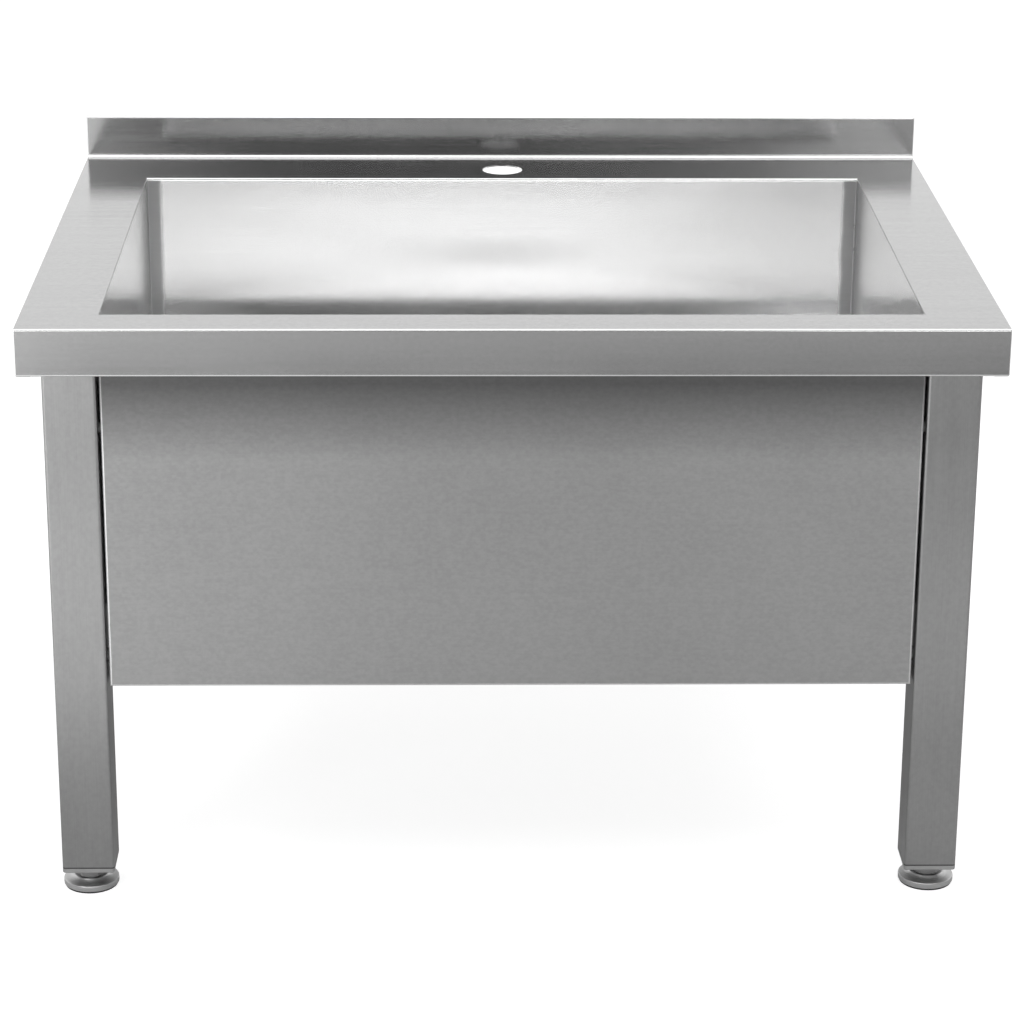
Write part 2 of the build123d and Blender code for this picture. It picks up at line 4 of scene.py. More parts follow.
import bmesh
import bpy
import numpy as np
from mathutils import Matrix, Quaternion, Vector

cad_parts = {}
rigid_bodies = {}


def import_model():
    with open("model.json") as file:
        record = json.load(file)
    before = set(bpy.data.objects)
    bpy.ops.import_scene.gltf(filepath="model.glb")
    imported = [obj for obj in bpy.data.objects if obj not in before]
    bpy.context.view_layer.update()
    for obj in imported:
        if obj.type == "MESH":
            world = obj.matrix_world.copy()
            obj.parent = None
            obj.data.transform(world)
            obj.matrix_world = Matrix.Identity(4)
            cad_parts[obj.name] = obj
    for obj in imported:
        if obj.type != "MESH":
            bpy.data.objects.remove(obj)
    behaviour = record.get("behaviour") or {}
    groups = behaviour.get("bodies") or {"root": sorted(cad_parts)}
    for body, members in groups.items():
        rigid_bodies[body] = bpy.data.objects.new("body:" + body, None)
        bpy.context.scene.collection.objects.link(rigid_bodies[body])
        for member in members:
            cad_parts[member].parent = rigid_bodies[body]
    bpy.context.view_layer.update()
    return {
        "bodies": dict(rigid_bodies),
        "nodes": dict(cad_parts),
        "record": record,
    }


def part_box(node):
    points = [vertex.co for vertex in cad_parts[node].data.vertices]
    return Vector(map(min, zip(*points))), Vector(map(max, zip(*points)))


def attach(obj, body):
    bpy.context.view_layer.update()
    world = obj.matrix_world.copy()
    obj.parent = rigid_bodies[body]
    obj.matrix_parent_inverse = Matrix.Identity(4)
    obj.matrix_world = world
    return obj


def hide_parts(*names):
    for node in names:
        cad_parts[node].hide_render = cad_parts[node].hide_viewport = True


# Finishes, welds, threads, studio and camera of the utility laundry sink. Metres.
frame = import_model()

MILLI = 0.001
LEG_PLACES = ("front_left", "front_right", "back_left", "back_right")

# ------------------------------------------------------------------ places read from the frame
upstand_top_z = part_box("worktop")[1][2]
bowl_low, bowl_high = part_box("bowl")

upstand_height = 40.0 * MILLI
fascia_height = 40.0 * MILLI
bowl_sheet = 1.0 * MILLI
deck_z = upstand_top_z - upstand_height
fascia_low_z = deck_z - fascia_height
bowl_inside_x = bowl_high[0] - bowl_sheet
bowl_front_y = bowl_low[1] + bowl_sheet
bowl_rear_y = bowl_high[1] - bowl_sheet
bowl_centre_y = (bowl_front_y + bowl_rear_y) / 2
bowl_half_length = (bowl_rear_y - bowl_front_y) / 2


# ------------------------------------------------------------------ meshes
def ring_mesh(name, points, wrap_rows=False):
    """A mesh from a grid of points (rows, columns, 3), where each row is a closed ring. Neighbouring
    points share a square face, and wrapped rows join the last ring to the first."""
    rows, columns = points.shape[:2]
    index = np.arange(rows * columns).reshape(rows, columns)
    if wrap_rows:
        index = np.vstack([index, index[:1]])
    index = np.hstack([index, index[:, :1]])
    faces = np.stack([index[:-1, :-1], index[:-1, 1:], index[1:, 1:], index[1:, :-1]], axis=-1)
    mesh = bpy.data.meshes.new(name)
    mesh.from_pydata(points.reshape(-1, 3).tolist(), [], faces.reshape(-1, 4).tolist())
    return mesh


def closed_mesh(name, points, wrap_rows=False):
    """A ring mesh made into a closed shell: points that meet at a pole are merged, open ends are
    filled, and faces are turned outwards."""
    merge_distance = 0.001 * MILLI
    mesh = ring_mesh(name, points, wrap_rows)
    shape = bmesh.new()
    shape.from_mesh(mesh)
    bmesh.ops.remove_doubles(shape, verts=shape.verts, dist=merge_distance)
    open_edges = [edge for edge in shape.edges if edge.is_boundary]
    if open_edges:
        bmesh.ops.holes_fill(shape, edges=open_edges)
    bmesh.ops.recalc_face_normals(shape, faces=shape.faces)
    shape.to_mesh(mesh)
    shape.free()
    return mesh


def add_piece(name, mesh, body, slot, sharp_angle=35.0, finish=None):
    """Puts a mesh into the scene as a piece that rides on a body and takes its slot's finish, or one
    of its own. Edges sharper than the angle, in degrees, stay sharp."""
    mesh.shade_smooth()
    mesh.set_sharp_from_angle(angle=math.radians(sharp_angle))
    piece = bpy.data.objects.new(name, mesh)
    bpy.context.scene.collection.objects.link(piece)
    mesh.materials.append(finish or FINISHES[slot])
    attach(piece, body)
    return piece


def turn_steps(count):
    """Angles at even steps round a full turn."""
    return np.linspace(0, 2 * math.pi, count, endpoint=False)


def arc(centre, radius, start, end, count):
    """Points on a round stretch of a profile: centre + radius * (cos a, sin a), a in degrees."""
    angle = np.radians(np.linspace(start, end, count))
    return np.stack([centre[0] + radius * np.cos(angle), centre[1] + radius * np.sin(angle)], axis=1)


def around(centre, radius, height, angle):
    """Rings of points round an upright axis: x = cx + r cos t, y = cy + r sin t, z = h. The radius
    and the height are one number, a column with one for each ring, or a whole grid."""
    radius, height = np.atleast_2d(radius), np.atleast_2d(height)
    x = centre[0] + radius * np.cos(angle)
    y = centre[1] + radius * np.sin(angle)
    z = height + 0 * radius * angle
    return np.stack([x, y, z], axis=-1)


# ------------------------------------------------------------------ materials
def add(tree, kind, sockets=None, **settings):
    """Adds a node. A socket takes a value or the output of another node."""
    made = tree.nodes.new(kind)
    for key, value in settings.items():
        setattr(made, key, value)
    for key, value in (sockets or {}).items():
        if isinstance(value, bpy.types.NodeSocket):
            tree.links.new(value, made.inputs[key])
        else:
            made.inputs[key].default_value = value
    return made


def calc(tree, operation, first, second=0.0, third=0.0):
    """The result of one step of arithmetic between values or outputs."""
    sockets = {0: first, 1: second, 2: third}
    return add(tree, "ShaderNodeMath", sockets, operation=operation).outputs[0]


def vector_calc(tree, operation, first, second):
    """The result of one step of arithmetic between vectors."""
    sockets = {0: first, 1: second}
    return add(tree, "ShaderNodeVectorMath", sockets, operation=operation).outputs[0]


def parts_of(tree, vector):
    """The outputs X, Y and Z of a vector."""
    return add(tree, "ShaderNodeSeparateXYZ", {0: vector}).outputs


def surface_normal(tree):
    """The direction that the surface faces."""
    return add(tree, "ShaderNodeNewGeometry").outputs["Normal"]


def blank_material(name):
    """A material with its tree, its shader and the object's own coordinates."""
    material = bpy.data.materials.new(name)
    material.use_nodes = True
    tree = material.node_tree
    shader = tree.nodes["Principled BSDF"]
    place = add(tree, "ShaderNodeTexCoord").outputs["Object"]
    return material, tree, shader, place


def noise(tree, place, scale, detail=3.0, roughness=0.55):
    """Noise from 0 to 1 on the object's coordinates, with its own count of waves per metre along
    X, Y and Z."""
    mapped = add(tree, "ShaderNodeMapping", {"Vector": place, "Scale": scale}).outputs[0]
    sockets = {"Vector": mapped, "Scale": 1.0, "Detail": detail, "Roughness": roughness}
    return add(tree, "ShaderNodeTexNoise", sockets).outputs["Fac"]


def ramp(tree, value, start, end, low, high, kind="LINEAR"):
    """Goes from low, where the value is at the start, to high, where it is at the end, and stays
    there."""
    sockets = {"Value": value, "From Min": start, "From Max": end, "To Min": low, "To Max": high}
    return add(tree, "ShaderNodeMapRange", sockets, interpolation_type=kind).outputs[0]


def spread(tree, value, low, high):
    """Maps a noise to a range of values."""
    noise_low, noise_high = 0.3, 0.7
    return ramp(tree, value, noise_low, noise_high, low, high)


def grain_scale(grain, along, across):
    """Waves per metre of a grain that runs along X or Z."""
    return (along, across, across) if grain == "X" else (across, across, along)


def across_the_grain(tree, grain):
    """The direction in which a brushed sheet spreads its reflections: square to the grain and to
    the surface. On the ends of a sheet brushed along X, the grain is folded down and runs along Z."""
    folded_down = 0.7
    # Keeps the direction from vanishing where the surface faces along the grain.
    nudge = (0.011, 0.013, 0.007)
    normal = surface_normal(tree)
    if grain == "X":
        sideways = calc(tree, "ABSOLUTE", parts_of(tree, normal)["X"])
        on_end = calc(tree, "GREATER_THAN", sideways, folded_down)
        along_x = calc(tree, "SUBTRACT", 1.0, on_end)
        direction = add(tree, "ShaderNodeCombineXYZ", {"X": along_x, "Z": on_end}).outputs[0]
    else:
        direction = (0.0, 0.0, 1.0)
    return vector_calc(tree, "ADD", vector_calc(tree, "CROSS_PRODUCT", normal, direction), nudge)


def on_bends(tree):
    """One on the round bends beside a face to the front or back, where a highlight is painted, and
    zero on the flats of a folded sheet."""
    bend_starts, bend_is_full = 0.08, 0.25
    normal = parts_of(tree, surface_normal(tree))
    x, y, z = (calc(tree, "ABSOLUTE", normal[axis]) for axis in "XYZ")
    slant = calc(tree, "MULTIPLY", y, calc(tree, "ADD", x, z))
    return ramp(tree, slant, bend_starts, bend_is_full, 0.0, 1.0)


# Waves per metre on brushed steel, along its grain and across it.
FINE_LINES = (14.0, 1500.0)
BROAD_STREAKS = (3.0, 130.0)
SHORT_MARKS = (250.0, 330.0)
ROLLING_CLOUDS = (7.0, 7.0)


def brushed_steel(name, tone, roughness, grain, anisotropy, streaks=0.014, mottle=0.035,
                  painted_bend_highlight=0.0, shade=None):
    """Brushed stainless steel: fine lines along the grain, broader streaks, a fine mottle of short
    marks, faint clouds from rolling and handling, and reflections drawn out across the grain. Bends
    may get a painted highlight, and painted light and shade may change the tone between two heights."""
    clouds = 0.03
    streak_gloss, cloud_gloss = 0.03, 0.02
    brightest_tone = 0.92
    line_depth, line_strength = 0.0015 * MILLI, 0.35
    material, tree, shader, place = blank_material(name)
    fine = noise(tree, place, grain_scale(grain, *FINE_LINES), detail=2.0)
    broad = noise(tree, place, grain_scale(grain, *BROAD_STREAKS), detail=4.0, roughness=0.7)
    short = noise(tree, place, grain_scale(grain, *SHORT_MARKS), detail=1.0)
    cloud = noise(tree, place, grain_scale(grain, *ROLLING_CLOUDS))
    tint = spread(tree, cloud, 1 - clouds, 1 + clouds)
    for marks, strength in ((fine, streaks), (broad, streaks), (short, mottle)):
        tint = calc(tree, "ADD", tint, spread(tree, marks, -strength, strength))
    grey = calc(tree, "MULTIPLY", tint, tone)
    # Painted highlight: the tone on the bends is raised, so that they show as bright lines.
    if painted_bend_highlight:
        bend_highlight_gain = calc(tree, "MULTIPLY_ADD", on_bends(tree), painted_bend_highlight, 1.0)
        grey = calc(tree, "MULTIPLY", grey, bend_highlight_gain)
    # Painted light and shade: the tone is scaled between two heights.
    if shade:
        low, high, tone_below, tone_above = shade
        painted_light_by_height = ramp(tree, parts_of(tree, place)["Z"], low, high, tone_below, tone_above)
        grey = calc(tree, "MINIMUM", calc(tree, "MULTIPLY", grey, painted_light_by_height), brightest_tone)
    sheet_gloss = spread(tree, cloud, roughness - cloud_gloss, roughness + cloud_gloss)
    rough = calc(tree, "ADD", spread(tree, broad, -streak_gloss, streak_gloss), sheet_gloss)
    lines = {"Strength": line_strength, "Distance": line_depth, "Height": fine}
    shader.inputs["Metallic"].default_value = 1.0
    shader.inputs["Anisotropic"].default_value = anisotropy
    tree.links.new(grey, shader.inputs["Base Color"])
    tree.links.new(rough, shader.inputs["Roughness"])
    tree.links.new(across_the_grain(tree, grain), shader.inputs["Tangent"])
    tree.links.new(add(tree, "ShaderNodeBump", lines).outputs[0], shader.inputs["Normal"])
    return material


def ground_strips(tree, place, normal, to_side, to_end):
    """One on the dull strips that were ground beside the bowl's upright welds, and zero elsewhere.
    The strips have a soft wavy edge, fade out below and are faint in the front half."""
    strip_width, soft_edge, wave = 12.5 * MILLI, 2.5 * MILLI, 0.8 * MILLI
    strip_waves = (4.0, 4.0, 60.0)
    faces_that_way = 0.5
    gone_z, full_z = 0.345, 0.37
    faint_y, full_y, faint = -0.05, 0.05, 0.2
    wobble = spread(tree, noise(tree, place, strip_waves), -wave, wave)
    strips = []
    for distance, axis in ((to_side, "Y"), (to_end, "X")):
        from_weld = calc(tree, "ADD", distance, wobble)
        strip = ramp(tree, from_weld, strip_width - soft_edge, strip_width + soft_edge, 1.0, 0.0)
        wall = calc(tree, "GREATER_THAN", calc(tree, "ABSOLUTE", normal[axis]), faces_that_way)
        strips.append(calc(tree, "MULTIPLY", strip, wall))
    parts = parts_of(tree, place)
    ground = calc(tree, "MAXIMUM", strips[0], strips[1])
    ground = calc(tree, "MULTIPLY", ground, ramp(tree, parts["Z"], gone_z, full_z, 0.0, 1.0))
    return calc(tree, "MULTIPLY", ground, ramp(tree, parts["Y"], faint_y, full_y, faint, 1.0))


def bowl_steel(name, tone, roughness, anisotropy):
    """The bowl's sheet, with its grain up the walls and from front to back on the floor. It is
    bright inside, with painted shade on the side walls and towards the right end, dull ground
    strips beside its upright welds, and dull outside."""
    ground_dulling, outside_dulling, side_wall_painted_shade = 0.46, 0.5, 0.13
    right_end_starts, right_end_full, right_end_painted_shade = 0.1, 0.3, 0.94
    cloud_waves, line_waves = (5.0, 5.0, 5.0), (12.0, 12.0, 900.0)
    clouds, lines = 0.03, 0.02
    cloud_gloss, dull_roughness = 0.02, 0.55
    faces_that_way, wall_or_floor = 0.5, 0.7
    sheet_middle = 0.5 * MILLI
    material, tree, shader, place = blank_material(name)
    parts = parts_of(tree, place)
    facing = surface_normal(tree)
    normal = parts_of(tree, facing)
    to_side = calc(tree, "SUBTRACT", bowl_inside_x, calc(tree, "ABSOLUTE", parts["X"]))
    from_middle = calc(tree, "ABSOLUTE", calc(tree, "SUBTRACT", parts["Y"], bowl_centre_y))
    to_end = calc(tree, "SUBTRACT", bowl_half_length, from_middle)
    ground = ground_strips(tree, place, normal, to_side, to_end)
    facing_down = calc(tree, "LESS_THAN", normal["Z"], -faces_that_way)
    beyond = calc(tree, "LESS_THAN", calc(tree, "MINIMUM", to_side, to_end), -sheet_middle)
    outside = calc(tree, "MAXIMUM", beyond, facing_down)
    ground_dull = calc(tree, "MULTIPLY", ground, ground_dulling)
    dull = calc(tree, "MAXIMUM", ground_dull, calc(tree, "MULTIPLY", outside, outside_dulling))
    cloud = noise(tree, place, cloud_waves, detail=4.0)
    fine = noise(tree, place, line_waves, detail=2.0)
    cloudy = spread(tree, cloud, 1 - clouds, 1 + clouds)
    tint = calc(tree, "ADD", cloudy, spread(tree, fine, -lines, lines))
    # Painted shade: the side walls and the right end of the bowl get a darker tone.
    on_side_wall = calc(tree, "GREATER_THAN", calc(tree, "ABSOLUTE", normal["X"]), faces_that_way)
    painted_shade_to_right = ramp(tree, parts["X"], right_end_starts, right_end_full, 1.0, right_end_painted_shade)
    ends = calc(tree, "MULTIPLY_ADD", on_side_wall, -side_wall_painted_shade, painted_shade_to_right)
    grey = calc(tree, "MULTIPLY", tint, tone)
    for share in (calc(tree, "SUBTRACT", 1.0, dull), ends):
        grey = calc(tree, "MULTIPLY", grey, share)
    sheet_gloss = spread(tree, cloud, roughness - cloud_gloss, roughness + cloud_gloss)
    rough = calc(tree, "MULTIPLY_ADD", dull, dull_roughness, sheet_gloss)
    # Reflections spread sideways, square to the grain.
    upright = calc(tree, "LESS_THAN", calc(tree, "ABSOLUTE", normal["Z"]), wall_or_floor)
    level = calc(tree, "SUBTRACT", 1.0, upright)
    grain = add(tree, "ShaderNodeCombineXYZ", {"Y": level, "Z": upright}).outputs[0]
    shader.inputs["Metallic"].default_value = 1.0
    shader.inputs["Anisotropic"].default_value = anisotropy
    tree.links.new(vector_calc(tree, "CROSS_PRODUCT", facing, grain), shader.inputs["Tangent"])
    tree.links.new(grey, shader.inputs["Base Color"])
    tree.links.new(rough, shader.inputs["Roughness"])
    return material


def turned_steel(name, tone, roughness):
    """Steel turned on a lathe: fine rings, one above another, round an upright piece, and clouds."""
    cloud_waves, ring_waves = (60.0, 60.0, 60.0), (80.0, 80.0, 2200.0)
    darkest_cloud, palest_cloud, rings = 0.94, 1.04, 0.04
    cloud_gloss = 0.05
    ring_depth, ring_strength = 0.01 * MILLI, 0.3
    material, tree, shader, place = blank_material(name)
    cloud = noise(tree, place, cloud_waves)
    fine = noise(tree, place, ring_waves, detail=2.0)
    cloudy = spread(tree, cloud, darkest_cloud, palest_cloud)
    tint = calc(tree, "ADD", cloudy, spread(tree, fine, -rings, rings))
    rough = spread(tree, cloud, roughness - cloud_gloss, roughness + cloud_gloss)
    bump = {"Strength": ring_strength, "Distance": ring_depth, "Height": fine}
    shader.inputs["Metallic"].default_value = 1.0
    tree.links.new(calc(tree, "MULTIPLY", tint, tone), shader.inputs["Base Color"])
    tree.links.new(rough, shader.inputs["Roughness"])
    tree.links.new(add(tree, "ShaderNodeBump", bump).outputs[0], shader.inputs["Normal"])
    return material


def moulded(name, colour, roughness):
    """Moulded rubber or plastic: a fine even grain and slight clouds."""
    cloud_waves, grain_waves = (30.0, 30.0, 30.0), (1400.0, 1400.0, 1400.0)
    clouds, cloud_gloss = 0.1, 0.06
    grain_depth, grain_strength = 0.02 * MILLI, 0.4
    material, tree, shader, place = blank_material(name)
    fine = noise(tree, place, grain_waves, detail=2.0)
    cloud = noise(tree, place, cloud_waves)
    shade = {0: colour, "Scale": spread(tree, cloud, 1 - clouds, 1 + clouds)}
    mixed = add(tree, "ShaderNodeVectorMath", shade, operation="SCALE").outputs[0]
    rough = spread(tree, cloud, roughness - cloud_gloss, roughness + cloud_gloss)
    bump = {"Strength": grain_strength, "Distance": grain_depth, "Height": fine}
    tree.links.new(mixed, shader.inputs["Base Color"])
    tree.links.new(rough, shader.inputs["Roughness"])
    tree.links.new(add(tree, "ShaderNodeBump", bump).outputs[0], shader.inputs["Normal"])
    return material


# Painted light and shade by height: two heights, and the share of the tone below and above them.
# Painted highlight: the upstand's top face and top edge are made lighter.
painted_highlight_top_edge = (upstand_top_z - 1.8 * MILLI, upstand_top_z - 0.8 * MILLI, 1.0, 2.2)
# Painted shade: the apron is darker just under the fascia, where the overhang shades it.
painted_shade_under_fascia = (fascia_low_z - 75.0 * MILLI, fascia_low_z - 10.0 * MILLI, 1.0, 0.36)
# Painted shadow: a dark line at the foot of each tube, where it meets its plug.
painted_shadow_tube_end = (23.8 * MILLI, 24.6 * MILLI, 0.3, 1.0)

FINISHES = {
    "worktop_steel": brushed_steel("worktop_steel", tone=0.4, roughness=0.155, grain="X",
                                   anisotropy=0.5, painted_bend_highlight=1.3, shade=painted_highlight_top_edge),
    "bowl_steel": bowl_steel("bowl_steel", tone=0.99, roughness=0.14, anisotropy=1.0),
    "apron_steel": brushed_steel("apron_steel", tone=0.39, roughness=0.34, grain="X",
                                 anisotropy=0.75, mottle=0.05, painted_bend_highlight=1.3,
                                 shade=painted_shade_under_fascia),
    "tube_steel": brushed_steel("tube_steel", tone=0.38, roughness=0.34, grain="Z",
                                anisotropy=0.8, streaks=0.03, shade=painted_shadow_tube_end),
    "plug_steel": turned_steel("plug_steel", tone=0.5, roughness=0.4),
    "foot_steel": turned_steel("foot_steel", tone=0.6, roughness=0.4),
    "stud_steel": turned_steel("stud_steel", tone=0.32, roughness=0.36),
    "pad_rubber": moulded("pad_rubber", colour=(0.03, 0.03, 0.03), roughness=0.6),
    "fastener_steel": turned_steel("fastener_steel", tone=0.16, roughness=0.45),
    "waste_steel": turned_steel("waste_steel", tone=0.88, roughness=0.14),
    "gasket_rubber": moulded("gasket_rubber", colour=(0.035, 0.035, 0.035), roughness=0.65),
    "housing_plastic": moulded("housing_plastic", colour=(0.75, 0.75, 0.74), roughness=0.42),
}
polished_edge = turned_steel("polished_edge", tone=0.9, roughness=0.22)
weld_metal = turned_steel("weld_metal", tone=0.6, roughness=0.3)

for subpart in frame["record"]["subparts"]:
    node_mesh = frame["nodes"][subpart["node"]].data
    node_mesh.materials.clear()
    node_mesh.materials.append(FINISHES[subpart["material_slot"]])


# ------------------------------------------------------------------ levelling feet
ROWS_PER_TURN = 8
stud_pitch = 1.75 * MILLI
stud_radius = 6.0 * MILLI
stud_thread_depth = 0.61 * stud_pitch
stud_end_chamfer = 1.0 * MILLI
hexagon_half = 12.0 * MILLI
hexagon_end_half = 0.97 * hexagon_half
hexagon_chamfer = math.tan(math.radians(30))
neck_radius = 4.6 * MILLI
swivel_head_radius = 6.6 * MILLI
swivel_head_height = 2.0 * MILLI
disc_rounding = 0.8 * MILLI
disc_rim_height = 5.2 * MILLI
disc_collar_radius = 14.4 * MILLI
disc_bore_radius = 4.65 * MILLI
disc_bore_floor = 3.0 * MILLI
sharp_on_threads = 25.0


def hexagon_radius(angle, half):
    """Distance from the axis to a hexagon's flats, with flats facing the front and back."""
    return half / np.cos((angle - math.pi / 3) % (math.pi / 3) - math.pi / 6)


def thread_tooth(phase):
    """Height of a thread from 0 at the root to 1 at the crest, with straight flanks:
    clip(1.6 |2 frac(phase) - 1| - 0.3, 0, 1)."""
    flank_slope, flat_root = 1.6, 0.3
    return np.clip(flank_slope * np.abs(2 * (phase % 1.0) - 1) - flat_root, 0, 1)


def threaded_stud(name, centre, low, high, hex_low, hex_high):
    """A levelling stud: swivel head and neck, spanner hexagon with chamfered corners, and a thread
    whose radius is root + depth * tooth((z - hex_high) / pitch - t / 2 pi), run in below and
    chamfered above."""
    angle = turn_steps(60)
    head_top = low + swivel_head_height
    neck = np.array([[0.0, low], [swivel_head_radius, low], [swivel_head_radius, head_top],
                     [neck_radius, head_top], [neck_radius, hex_low]])

    share = np.array([0.0, 0.04, 0.08, 0.12, 0.16, 0.84, 0.88, 0.92, 0.96, 1.0])[:, None]
    from_end = np.minimum(share, 1 - share) * (hex_high - hex_low)
    hexagon_height = hex_low + share * (hex_high - hex_low)
    chamfer = hexagon_end_half + from_end / hexagon_chamfer
    hexagon = np.minimum(hexagon_radius(angle, hexagon_half), chamfer)

    root = stud_radius - stud_thread_depth
    turns = (high - hex_high) / stud_pitch
    thread_height = np.linspace(hex_high, high, int(turns * ROWS_PER_TURN))[:, None]
    risen = (thread_height - hex_high) / stud_pitch
    tooth = thread_tooth(risen - angle / (2 * math.pi)) * np.minimum(1.0, risen)
    thread = np.minimum(root + stud_thread_depth * tooth,
                        stud_radius - stud_end_chamfer + (high - thread_height))

    stretches = ((neck[:, :1], neck[:, 1:]), (hexagon, hexagon_height), (root, hex_high),
                 (thread, thread_height), (0.0, high))
    points = [around(centre, radius, height, angle) for radius, height in stretches]
    return closed_mesh(name, np.vstack(points))


def foot_disc(name, centre, low, high, radius):
    """A levelling foot turned from a profile: rounded rim, a top that sweeps up in a hollow curve
    to the collar, and the bore of the swivel. The hollow curve goes from the rim to the collar and
    leans towards a middle point: (1 - s)^2 rim + 2 s (1 - s) middle + s^2 collar."""
    rim_top = low + disc_rim_height
    rounding = disc_rounding
    bore_floor = low + disc_bore_floor
    rim = np.array([radius - 2.6 * MILLI, rim_top + 0.15 * MILLI])
    middle = np.array([disc_collar_radius + 1.6 * MILLI, rim_top + 0.5 * MILLI])
    collar = np.array([disc_collar_radius, high])
    share = np.linspace(0, 1, 14)[:, None]
    flare = (1 - share) ** 2 * rim + 2 * share * (1 - share) * middle + share ** 2 * collar
    profile = np.vstack([
        [[0.0, low]],
        [[radius - rounding, low]],
        arc((radius - rounding, low + rounding), rounding, -90, 0, 5),
        arc((radius - rounding, rim_top - rounding), rounding, 0, 90, 6),
        flare,
        [[disc_bore_radius, high]],
        [[disc_bore_radius, bore_floor]],
        [[0.0, bore_floor]],
    ])
    return closed_mesh(name, around(centre, profile[:, :1], profile[:, 1:], turn_steps(96)))


for leg in LEG_PLACES:
    disc_low, disc_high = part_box(f"foot_disc_{leg}")
    stud_low, stud_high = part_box(f"foot_stud_{leg}")
    plug_low_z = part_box(f"leg_plug_{leg}")[0][2]
    foot_centre = ((disc_low[0] + disc_high[0]) / 2, (disc_low[1] + disc_high[1]) / 2)
    foot_radius = (disc_high[0] - disc_low[0]) / 2
    disc_name, stud_name = f"turned_foot_{leg}", f"threaded_stud_{leg}"
    disc_mesh = foot_disc(disc_name, foot_centre, disc_low[2], disc_high[2], foot_radius)
    disc_piece = add_piece(disc_name, disc_mesh, f"foot_{leg}", "foot_steel")
    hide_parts(f"foot_disc_{leg}")
    stud_mesh = threaded_stud(stud_name, foot_centre, stud_low[2], stud_high[2], disc_high[2], plug_low_z)
    stud_piece = add_piece(stud_name, stud_mesh, f"stud_{leg}", "stud_steel", sharp_angle=sharp_on_threads)
    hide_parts(f"foot_stud_{leg}")


# ------------------------------------------------------------------ edges, seams, welds and thread
weld_radius = 1.6 * MILLI
weld_ripple = 0.25
weld_ripple_step = 2.2 * MILLI
weld_point_step = 0.5 * MILLI
weld_corner = 2.0 * MILLI
weld_inset = 0.9 * MILLI
weld_inset_under_deck = 2.2 * MILLI


def evenly(points, spacing):
    """Points at even steps along a line of straight pieces."""
    length = np.concatenate([[0.0], np.cumsum(np.linalg.norm(np.diff(points, axis=0), axis=1))])
    steps = np.linspace(0, length[-1], int(length[-1] / spacing))
    return np.stack([np.interp(steps, length, column) for column in points.T], axis=1)


def rounded_rectangle(low, high, corner):
    """The outline of a rectangle with round corners, as points in its own plane."""
    points_per_corner = 7
    centres = ((high[0] - corner, high[1] - corner), (low[0] + corner, high[1] - corner),
               (low[0] + corner, low[1] + corner), (high[0] - corner, low[1] + corner))
    corners = [arc(centre, corner, 90 * quarter, 90 * quarter + 90, points_per_corner)
               for quarter, centre in enumerate(centres)]
    return np.vstack(corners)


def bead(name, path, across, radius, closed=True, ripple=0.0):
    """A bead along a path: at each point a ring square to the path, with the radius
    r (1 + ripple sin^2(pi s / step)), where s is the length along the path. The direction across
    is square to the whole path."""
    if closed:
        ahead = np.roll(path, -1, axis=0) - np.roll(path, 1, axis=0)
    else:
        ahead = np.gradient(path, axis=0)
    ahead /= np.linalg.norm(ahead, axis=1, keepdims=True)
    side = np.cross(ahead, across)
    length = np.cumsum(np.linalg.norm(np.diff(path, axis=0, prepend=path[:1]), axis=1))
    reach = radius * (1 + ripple * np.sin(math.pi * length / weld_ripple_step) ** 2)
    angle = turn_steps(12)[None, :, None]
    ring = side[:, None] * np.cos(angle) + np.array(across) * np.sin(angle)
    return closed_mesh(name, path[:, None] + ring * reach[:, None, None], wrap_rows=closed)


def corner_seam(name, corner, toward, size, low, high):
    """A ground seam in an upright corner: a hollow quarter round between two walls, closed behind by
    a corner set a little into the sheet. Toward is the sign of X and Y that leads into the bowl."""
    set_in = 0.2 * MILLI
    hollow = arc((size, size), size, 180, 270, 7)
    section = np.vstack([hollow, [[size, -set_in], [-set_in, -set_in], [-set_in, size]]])
    x = corner[0] + toward[0] * section[:, 0]
    y = corner[1] + toward[1] * section[:, 1]
    z = np.linspace(low, high, 24)[:, None]
    return closed_mesh(name, np.stack([x + 0 * z, y + 0 * z, z + 0 * x], axis=-1))


def thread_sleeve(name, centre, low, high, radius, depth, step):
    """A thread round a pipe: its radius is r + depth * tooth(z / step - t / 2 pi), with the root a
    little under r. It is run out at both ends, and its inner side is set into the pipe."""
    root_set_in, inner_set_in = 0.1 * MILLI, 0.6 * MILLI
    angle = turn_steps(96)
    height = np.linspace(low, high, int((high - low) / step * ROWS_PER_TURN))[:, None]
    tooth = thread_tooth(height / step - angle / (2 * math.pi))
    run_out = np.clip(np.minimum(height - low, high - height) / step, 0, 1)
    outside = radius - root_set_in + depth * tooth * run_out
    reach = np.vstack([outside, np.full((2, len(angle)), radius - inner_set_in)])
    height = np.vstack([height, [[high], [low]]])
    return closed_mesh(name, around(centre, reach, height, angle), wrap_rows=True)


def weld_round(name, low, high, fixed_axis, place):
    """A rippled weld round the end of a square tube, in the plane that the tube meets."""
    outline = evenly(rounded_rectangle(low, high, weld_corner), weld_point_step)
    path = np.insert(outline, fixed_axis, place, axis=1)
    weld = bead(name, path, np.eye(3)[fixed_axis], weld_radius, ripple=weld_ripple)
    add_piece(name, weld, "sink", "tube_steel", finish=weld_metal)


# The opening's rear edge is rolled over to the bowl's back wall and polished.
edge_radius = 1.5 * MILLI
edge_into_wall = 0.3 * MILLI
edge_above_deck = 0.1 * MILLI
edge_x = np.linspace(-bowl_inside_x, bowl_inside_x, 24)
edge_y = bowl_rear_y + edge_into_wall
edge_z = deck_z - edge_radius + edge_above_deck
edge_path = np.stack([edge_x, edge_y + 0 * edge_x, edge_z + 0 * edge_x], axis=1)
add_piece("rear_opening_edge", bead("rear_opening_edge", edge_path, (0, 0, 1), edge_radius, closed=False),
          "sink", "worktop_steel", finish=polished_edge)

